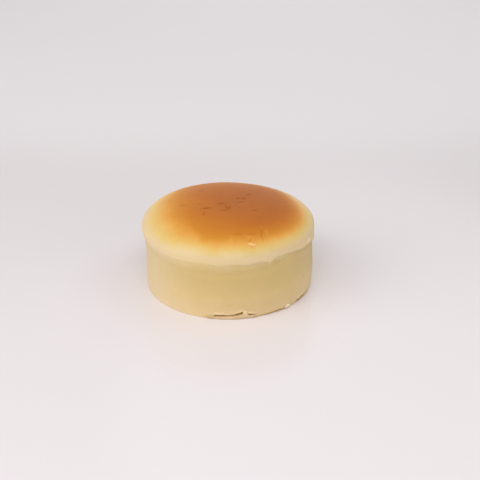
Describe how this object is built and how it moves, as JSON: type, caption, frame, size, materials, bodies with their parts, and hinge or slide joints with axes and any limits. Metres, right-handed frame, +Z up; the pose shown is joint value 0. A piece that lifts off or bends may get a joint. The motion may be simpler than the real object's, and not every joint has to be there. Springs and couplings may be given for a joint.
{
  "type": "whole round souffle cheesecake",
  "caption": "Whole uncut jiggly souffle cheesecake with a straight pale wall, a soft overhanging lip and a browned domed top.",
  "frame": {"origin": "centre of the cake on the surface that it stands on", "axes": "+Z up along the cake's axis; +X to the right, where the swollen band is broadest and the top lies lowest; -Y towards the front, a quarter turn clockwise from +X seen from above"},
  "size_m": [0.1538, 0.1532, 0.0753],
  "materials": {
    "baked_cake": "soft baked skin, pale cream on the wall and lip, golden to brown on the dome, slightly moist sheen"
  },
  "bodies": {
    "root": {"cheesecake": "baked_cake"}
  },
  "joints": []
}
